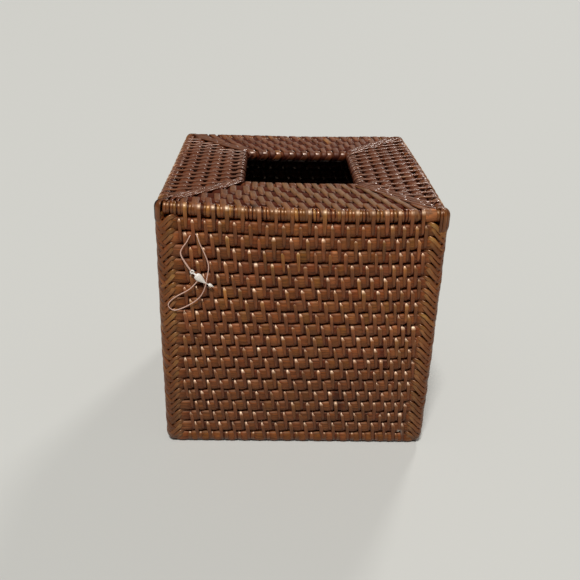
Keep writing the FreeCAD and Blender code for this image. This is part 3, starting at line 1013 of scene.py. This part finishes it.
def plait_arms(piece, side, hand, reach, rise, spine):
    """Bundles of narrow strips on one wall of a corner: each dips into a gap and runs down past the spine."""
    steps = 22
    rows = np.arange(-2, wall_steps)
    gaps = edge_z - (rows + 0.5) * row_spacing
    tops = np.minimum(reach, reach - (gaps - frame_top_z) / rise)
    whole = rows[tops > -0.5 * plait_tail]
    for row in whole:
        gap = edge_z - (row + 0.5) * row_spacing
        start = min(reach, reach - (gap - frame_top_z) / rise)
        share = np.linspace(0, 1, steps)
        way = start + (-plait_tail - start) * share
        lane = (np.arange(plait_strips) - (plait_strips - 1) / 2) * plait_strip_step
        lane = lane + uneven(plait_strips, 0.12 * MM)
        gather = plait_gather + (1 - plait_gather) * smooth_step(0, 0.3, share)
        z = gap - (reach - way) * rise + lane[:, None] * gather
        low = np.maximum(plait_foot_rounding - z, 0)
        squeezed = plait_foot_rounding - foot_squeeze * np.tanh(low / foot_length)
        z = np.where(z < plait_foot_rounding, squeezed, z)
        low = np.maximum(plait_foot_rounding - z, 0)
        lift = spine_lift * np.exp(-((way / spine_width) ** 2))
        tuck = gap_tuck * (1 - smooth_step(0, 0.16, share)) + tail_tuck * smooth_step(0.82, 1, share)
        depth = plait_seat + lift - tuck - low ** 2 / foot_bend + uneven(plait_strips, 0.12 * MM)[:, None]
        ways = np.broadcast_to(hand * way + spine, depth.shape)
        points, out = round_corner(side, ways, depth, z)
        tint = strip_tints(plait_strips, WALL_MIX, 0.06)
        tint = toward(tint, UMBER, 0.25 + 0.45 * near_base(row))
        half_width = plait_strip_width / 2 * (1 + uneven(plait_strips, 0.08))[:, None]
        shade = np.interp(share, *PLAIT_FADE)[:, None] * DOME_SHADE
        piece.add(points, out, DOME, half_width, strip_thickness, tint, side.place, shade)


def corner_cap(piece, name, side):
    """Strips that go over a top corner, from the mitre down the post."""
    count, first_turn, last_turn, bulge = CAPS.get(name, OTHER_CAP)
    seat = rod_radius + bulge
    bends = np.linspace(0, math.pi / 2, 9)
    inner = np.linspace(-cap_reach, 0, 4)[:-1]
    lower = np.linspace(0, cap_drop, 8)[1:]
    reach = np.concatenate([inner, seat * np.sin(bends), np.full(len(lower), seat)])
    rise = np.concatenate([np.full(len(inner), seat), seat * np.cos(bends), -lower])
    up = np.concatenate([np.ones(len(inner)), np.cos(bends), np.zeros(len(lower))])
    reach = reach - 1.5 * MM * smooth_step(0.6 * cap_drop, cap_drop, -rise)
    rise = rise - np.maximum(bulge - 0.4 * MM, 0) * up
    azimuths = np.radians(np.linspace(first_turn, last_turn, count)) + uneven(count, 0.04)
    ways = joined(np.cos(azimuths), np.sin(azimuths), 0)
    centre = np.array((side.along, -side.across, edge_z))
    points = centre + reach[None, :, None] * ways[:, None] + rise[:, None] * np.array((0, 0, 1))
    out = np.sqrt(1 - up ** 2)[None, :, None] * ways[:, None] + up[:, None] * np.array((0, 0, 1))
    tint = 0.8 * strip_tints(count, WALL_MIX, 0.0)
    if name == "front_left":
        tint[2:4] = SOOT
    # Painted shade, darker down the post
    fade = np.interp(rise, (-cap_drop, -0.7 * cap_drop, 0, seat), (0.3, 0.75, 1.0, 0.9))
    shade = fade[:, None] * DOME_SHADE
    piece.add(points, out, DOME, cap_strip_width / 2, strip_thickness, tint, side.place, shade)


def corner_plait(name, side, other):
    """Arms that meet at a spine on the front or back wall, so those of the left or right are longer."""
    piece = Piece()
    shift = plait_spine_shifts.get(name, other_spine_shift)
    spine = shift if side in (FRONT, BACK) else -shift
    for hand, wall in ((1, side), (-1, other)):
        if wall in (FRONT, BACK):
            plait_arms(piece, side, hand, plait_reach - shift, front_slope, spine)
        else:
            plait_arms(piece, side, hand, plait_reach + shift, side_slope, spine)
    corner_cap(piece, name, side)
    piece.build(f"corner_plait_{name}", "rattan_peel", wall_peel_look)


# Nylon loop: its route from the stitch that holds it, as across, out from the wall's face, up and stoutness
STRAND_ROUTE = (
    (1.0, 1.3, -26.0, 1.0),
    (-1.9, 1.3, -29.9, 1.0),
    (-5.8, 1.1, -32.7, 1.0),
    (-10.6, 0.9, -35.4, 1.0),
    (-14.3, 0.8, -38.7, 1.0),
    (-14.9, 0.8, -41.3, 1.0),
    (-12.3, 0.8, -43.7, 1.0),
    (-8.5, 0.8, -42.7, 1.0),
    (-3.2, 0.9, -39.8, 1.0),
    (2.0, 1.4, -35.6, 1.0),
    (4.8, 2.7, -29.3, 1.0),
    (5.8, 2.5, -23.7, 1.0),
    (6.9, 1.6, -18.5, 1.0),
    (6.0, 1.2, -14.4, 1.0),
    (4.1, 0.9, -9.7, 1.0),
    (2.1, 0.6, -5.3, 1.0),
    (1.5, 0.55, -2.6, 1.0),
    (0.6, -1.2, -1.6, 1.0),
    (-1.8, -1.2, -1.7, 1.0),
    (-2.7, 0.55, -2.7, 1.0),
    (-4.0, 0.6, -5.5, 1.0),
    (-6.0, 0.9, -7.9, 1.0),
    (-7.6, 1.1, -11.2, 1.3),
    (-5.6, 1.2, -15.5, 1.6),
    (-2.2, 1.2, -20.9, 1.6),
)
strand_diameter = 0.55 * MM
anchor_x = -53.2 * MM
anchor = np.array((anchor_x, wall_face_y, FRONT.row_z(HELD_ROW) - row_spacing / 2))


def tag_strand(lock):
    curve = bpy.data.curves.new("look_tag_strand", "CURVE")
    curve.dimensions = "3D"
    curve.bevel_depth = strand_diameter / 2
    curve.bevel_resolution = 4
    curve.resolution_u = 8
    curve.use_fill_caps = True
    spline = curve.splines.new("NURBS")
    spline.points.add(len(STRAND_ROUTE) - 1)
    places = [anchor + np.array((across, -out, up)) * MM for across, out, up, _ in STRAND_ROUTE]
    for point, place, route in zip(spline.points, places, STRAND_ROUTE):
        point.co = (*place, 1)
        point.radius = route[3]
    spline.order_u = 3
    spline.use_endpoint_u = True
    curve.materials.append(strand_look)
    piece = linked("look_tag_strand", curve)
    dressed(piece, "tag_strand")


# Lock of the loop: places from the anchor, ways of its body and tail, and its outline along them
lock_low, lock_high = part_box("tag_lock")
lock_middle_y = (lock_low.y + lock_high.y) / 2
lock_start = np.array((0.7, 0.0, -23.6)) * MM
lock_way = unit(np.array((1.0, 0.0, -0.95)))
tail_way = unit(np.array((1.0, 0.0, -0.5)))
tail_start = 5.2 * MM
bead_place = -3.4 * MM
bead_ring = 0.8 * MM
bead_thickness = 0.42 * MM
LOCK_OUTLINE = (
    (-2.5, 0.4),
    (-1.1, 0.45),
    (-0.7, 1.5),
    (0.0, 1.95),
    (1.0, 2.05),
    (2.0, 1.85),
    (3.4, 1.3),
    (4.5, 0.85),
    (5.2, 0.5),
    (5.7, 0.34),
    (7.2, 0.32),
    (7.5, 0.75),
    (8.2, 0.95),
    (9.2, 0.6),
    (10.4, 0.1),
)


def tag_lock():
    """Bead with a hole, neck, flattened drop and a tail with a small arrowhead."""
    outline = np.array(LOCK_OUTLINE) * MM
    start = anchor + lock_start
    start[1] = lock_middle_y
    along = outline[:, :1]
    points = start + np.minimum(along, tail_start) * lock_way + np.maximum(along - tail_start, 0) * tail_way
    half_width = outline[:, 1][None]
    body = smooth_step(-1.2 * MM, 0.2 * MM, along[:, 0]) * (1 - smooth_step(4.8 * MM, 5.7 * MM, along[:, 0]))
    piece = Piece()
    tint = np.array((CHALK,))
    piece.add(points[None], (0, -1, 0), ROUND, half_width, half_width * (1 - 0.38 * body), tint)
    turns = np.linspace(0, 2.1 * math.pi, 22)
    ring = joined(np.cos(turns), 0, np.sin(turns)) * bead_ring
    bead = start + bead_place * lock_way + ring
    piece.add(bead[None], (0, -1, 0), ROUND, bead_thickness, bead_thickness, tint)
    return piece.build("tag_lock", "nylon", lock_look)


# Building the pieces
for side in SIDES:
    side_stitches = wall_stitches(side)
    side_top = top_stitches(side)
    wall_rods(side, side_stitches)
    ring_rods(side, side_stitches, side_top)
    wall_lashing(side, side_stitches)
    base_binding(side, side_stitches)
    top_lashing(side, side_top)
    rim_binding(side, side_top)
for corner_name, corner_side, corner_other in CORNERS:
    corner_post(corner_name, corner_side)
    mitre_seam(corner_name, corner_side)
    corner_plait(corner_name, corner_side, corner_other)
tag_strand(tag_lock())


# Floor, lights and camera
def floor():
    reach = 6.0
    corners = [(-reach, -reach, 0), (reach, -reach, 0), (reach, reach, 0), (-reach, reach, 0)]
    mesh = bpy.data.meshes.new("floor")
    mesh.from_pydata(corners, [], [(0, 1, 2, 3)])
    material, _, _, shader = new_material("floor_paint")
    shader.inputs["Base Color"].default_value = (*display(200, 199, 193), 1)
    shader.inputs["Roughness"].default_value = 0.9
    mesh.materials.append(material)
    ground = linked("floor", mesh)


def sun_light(name, place, spread, power):
    lamp = bpy.data.lights.new(name, "SUN")
    lamp.angle = math.radians(spread)
    lamp.energy = power
    light = linked(name, lamp)
    light.location = place
    light.rotation_euler = Vector(place).to_track_quat("Z", "Y").to_euler()


def surroundings():
    world = bpy.data.worlds.new("surroundings")
    world.use_nodes = True
    background = world.node_tree.nodes["Background"]
    background.inputs["Color"].default_value = (*display(214, 215, 213), 1)
    background.inputs["Strength"].default_value = 0.2
    bpy.context.scene.world = world


def camera():
    """Camera fitted to the cover's corners in the photo."""
    lens = bpy.data.cameras.new("camera")
    lens.lens = 44.15
    lens.sensor_width = 36.0
    eye = linked("camera", lens)
    right = Vector((0.99941, -0.02095, 0.02704))
    up = Vector((-0.01523, 0.4351, 0.90026))
    back = right.cross(up)
    turn = Matrix((right, up, back)).transposed()
    eye.matrix_world = Matrix.Translation((-0.01642, -0.40182, 0.25614)) @ turn.to_4x4()
    bpy.context.scene.camera = eye


floor()
sun_light("key_light", place=(-0.12, -0.48, 1.0), spread=11, power=2.9)
sun_light("back_light", place=(0.4, 0.9, 0.7), spread=9, power=0.8)
surroundings()
camera()
bpy.context.scene.view_settings.view_transform = "Standard"
